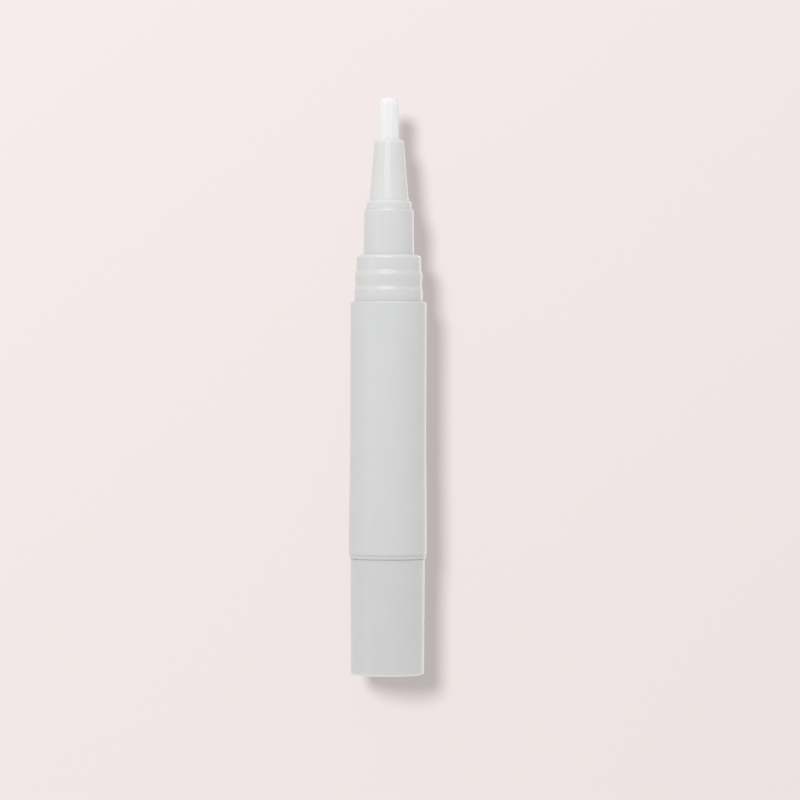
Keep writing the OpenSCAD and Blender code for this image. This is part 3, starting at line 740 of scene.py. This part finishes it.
def card_material():
    """Pale paper behind the pen, with a painted light falloff across it, seen only from the front,
    that fades out at its edges.
    """
    made = bpy.data.materials.new("card_paper")
    nodes = Nodes(made)
    geometry = nodes.add("ShaderNodeNewGeometry").outputs
    axes = nodes.add("ShaderNodeSeparateXYZ", Vector=geometry["Position"]).outputs
    across = nodes.math("SUBTRACT", axes["X"], CAMERA_AT.x)
    up = nodes.math("SUBTRACT", axes["Z"], CAMERA_AT.z)
    # Painted light falloff: the card's colour and what it reflects run from lighter at the upper
    # left to darker at the lower right
    slope = nodes.add("ShaderNodeMapRange", _0=nodes.math("SUBTRACT", across, up),
                      _1=-CARD_FALLOFF_REACH, _2=CARD_FALLOFF_REACH, _3=0.0, _4=1.0).outputs[0]
    colour = nodes.mix(slope, BACKDROP_PAINTED_LIT, BACKDROP_PAINTED_SHADE)
    reflected = nodes.mix(slope, scaled(BACKDROP_PAINTED_LIT, STAGE_ALBEDO),
                          scaled(BACKDROP_PAINTED_SHADE, STAGE_ALBEDO))
    sheet = paper(nodes, colour, reflected, 1 - SHADOW_SHARE - STAGE_ALBEDO)
    reach = nodes.math("MAXIMUM", nodes.math("ABSOLUTE", across), nodes.math("ABSOLUTE", up))
    front = nodes.math("SUBTRACT", 1.0, geometry["Backfacing"])
    solid = nodes.math("MULTIPLY", fade(nodes, reach, CARD_REACH, CARD_FADE), front)
    clear = nodes.add("ShaderNodeBsdfTransparent").outputs[0]
    surface = nodes.add("ShaderNodeMixShader", _0=solid, _1=clear, _2=sheet).outputs[0]
    nodes.add("ShaderNodeOutputMaterial", Surface=surface)
    return made


def foot_shade(nodes, axes):
    """A factor of the pen's painted shadow on the clear floor between its foot and the card.

    It has only the inner part of the soft edge, since the card's own shows through the outer part.
    """
    foot_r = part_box("twist_knob")[1].x - KNOB_DRAFT
    spread = math.tan(SHADOW_BLUR / 2) / SHADOW_WAY.y
    drift = nodes.math("MULTIPLY", axes["Y"], SHADOW_WAY.x / SHADOW_WAY.y)
    aside = nodes.math("ABSOLUTE", nodes.math("SUBTRACT", axes["X"], drift))
    past = nodes.math("SUBTRACT", aside, foot_r)
    cast = fade(nodes, nodes.math("DIVIDE", past, axes["Y"]), -spread, FOOT_SHADE_FADE * spread)
    near = nodes.math("MULTIPLY", nodes.math("GREATER_THAN", axes["Y"], FOOT_SHADE_START),
                      nodes.math("LESS_THAN", axes["Y"], CARD_Y))
    return nodes.math("MULTIPLY", nodes.math("MULTIPLY", near, FOOT_SHADE_SHARE), cast)


def floor_material():
    """Pale floor, seen from above: solid behind the card, and near the pen only its painted shade.
    """
    made = bpy.data.materials.new("floor_paper")
    nodes = Nodes(made)
    geometry = nodes.add("ShaderNodeNewGeometry").outputs
    place = geometry["Position"]
    axes = nodes.add("ShaderNodeSeparateXYZ", Vector=place).outputs
    far = nodes.add("ShaderNodeVectorMath", {"operation": "LENGTH"}, _0=place).outputs["Value"]
    behind = nodes.math("GREATER_THAN", axes["Y"], CARD_Y)
    solid = nodes.math("MULTIPLY", behind, fade(nodes, far, FLOOR_REACH, FLOOR_FADE))
    clear = nodes.add("ShaderNodeBsdfTransparent").outputs[0]
    albedo = STAGE_ALBEDO * SHADOW_WAY.y / -SHADOW_WAY.z
    lit = paper(nodes, BACKDROP, scaled(BACKDROP, albedo), 1 - SHADOW_SHARE - albedo * FLOOR_LIGHT)
    ground = nodes.add("ShaderNodeMixShader", _0=solid, _1=clear, _2=lit).outputs[0]
    # Painted contact shade: a dark emission mixed into a ring round the foot
    shade = nodes.add("ShaderNodeEmission", Color=CONTACT_SHADE_COLOUR, Strength=1.0).outputs[0]
    contact_shade = nodes.math("MULTIPLY", fade(nodes, far, CONTACT_SHADE_REACH, CONTACT_SHADE_FADE), CONTACT_SHADE_SHARE)
    contact_shaded = nodes.add("ShaderNodeMixShader", _0=contact_shade, _1=ground, _2=shade).outputs[0]
    # Painted shadow: an emission in the card's shadow tone where the pen's shadow falls between its
    # foot and the card
    shadow = nodes.add("ShaderNodeEmission", Strength=1.0,
                       Color=scaled(BACKDROP, 1 - SHADOW_SHARE - STAGE_ALBEDO / 2))
    above = nodes.add("ShaderNodeMixShader", _0=foot_shade(nodes, axes), _1=contact_shaded,
                      _2=shadow.outputs[0]).outputs[0]
    surface = nodes.add("ShaderNodeMixShader", _0=geometry["Backfacing"], _1=above,
                        _2=clear).outputs[0]
    nodes.add("ShaderNodeOutputMaterial", Surface=surface)
    return made


def make_stage():
    """The card behind the pen, the floor under it, and the sun that throws the pen's shadow."""
    half = CARD_REACH + CARD_FADE
    card = stage_plane("card", [(CAMERA_AT.x + a * half, CARD_Y, CAMERA_AT.z + b * half)
                                for a, b in SQUARE], card_material())
    half = FLOOR_REACH + FLOOR_FADE
    floor = stage_plane("floor", [(a * half, b * half, FLOOR_Z) for a, b in SQUARE],
                        floor_material())
    shadow_lamp(card, floor)


def main(frame):
    """Builds the scene round the frame."""
    materials = make_materials()
    bpy.context.scene.view_settings.view_transform = "Standard"
    make_camera()
    make_world()
    made = [
        make_sleeve(materials["sleeve_plastic"]),
        make_collar(materials["collar_plastic"]),
        make_nozzle(materials["nozzle_plastic"]),
        make_brush(materials["brush_fibre"]),
        make_knob(materials["knob_plastic"]),
    ]
    replaced = {name for item in made for name in item["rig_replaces"]}
    dress_inside(frame["record"], frame["nodes"], materials, replaced)
    make_lamps()
    make_stage()


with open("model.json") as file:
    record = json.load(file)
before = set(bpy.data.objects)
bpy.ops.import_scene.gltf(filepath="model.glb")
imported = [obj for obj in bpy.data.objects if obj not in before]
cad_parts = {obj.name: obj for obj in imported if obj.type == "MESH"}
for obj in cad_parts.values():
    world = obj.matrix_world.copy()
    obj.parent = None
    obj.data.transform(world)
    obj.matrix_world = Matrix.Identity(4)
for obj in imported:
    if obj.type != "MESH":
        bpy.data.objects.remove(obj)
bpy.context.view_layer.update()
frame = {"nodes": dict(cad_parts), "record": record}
main(frame)
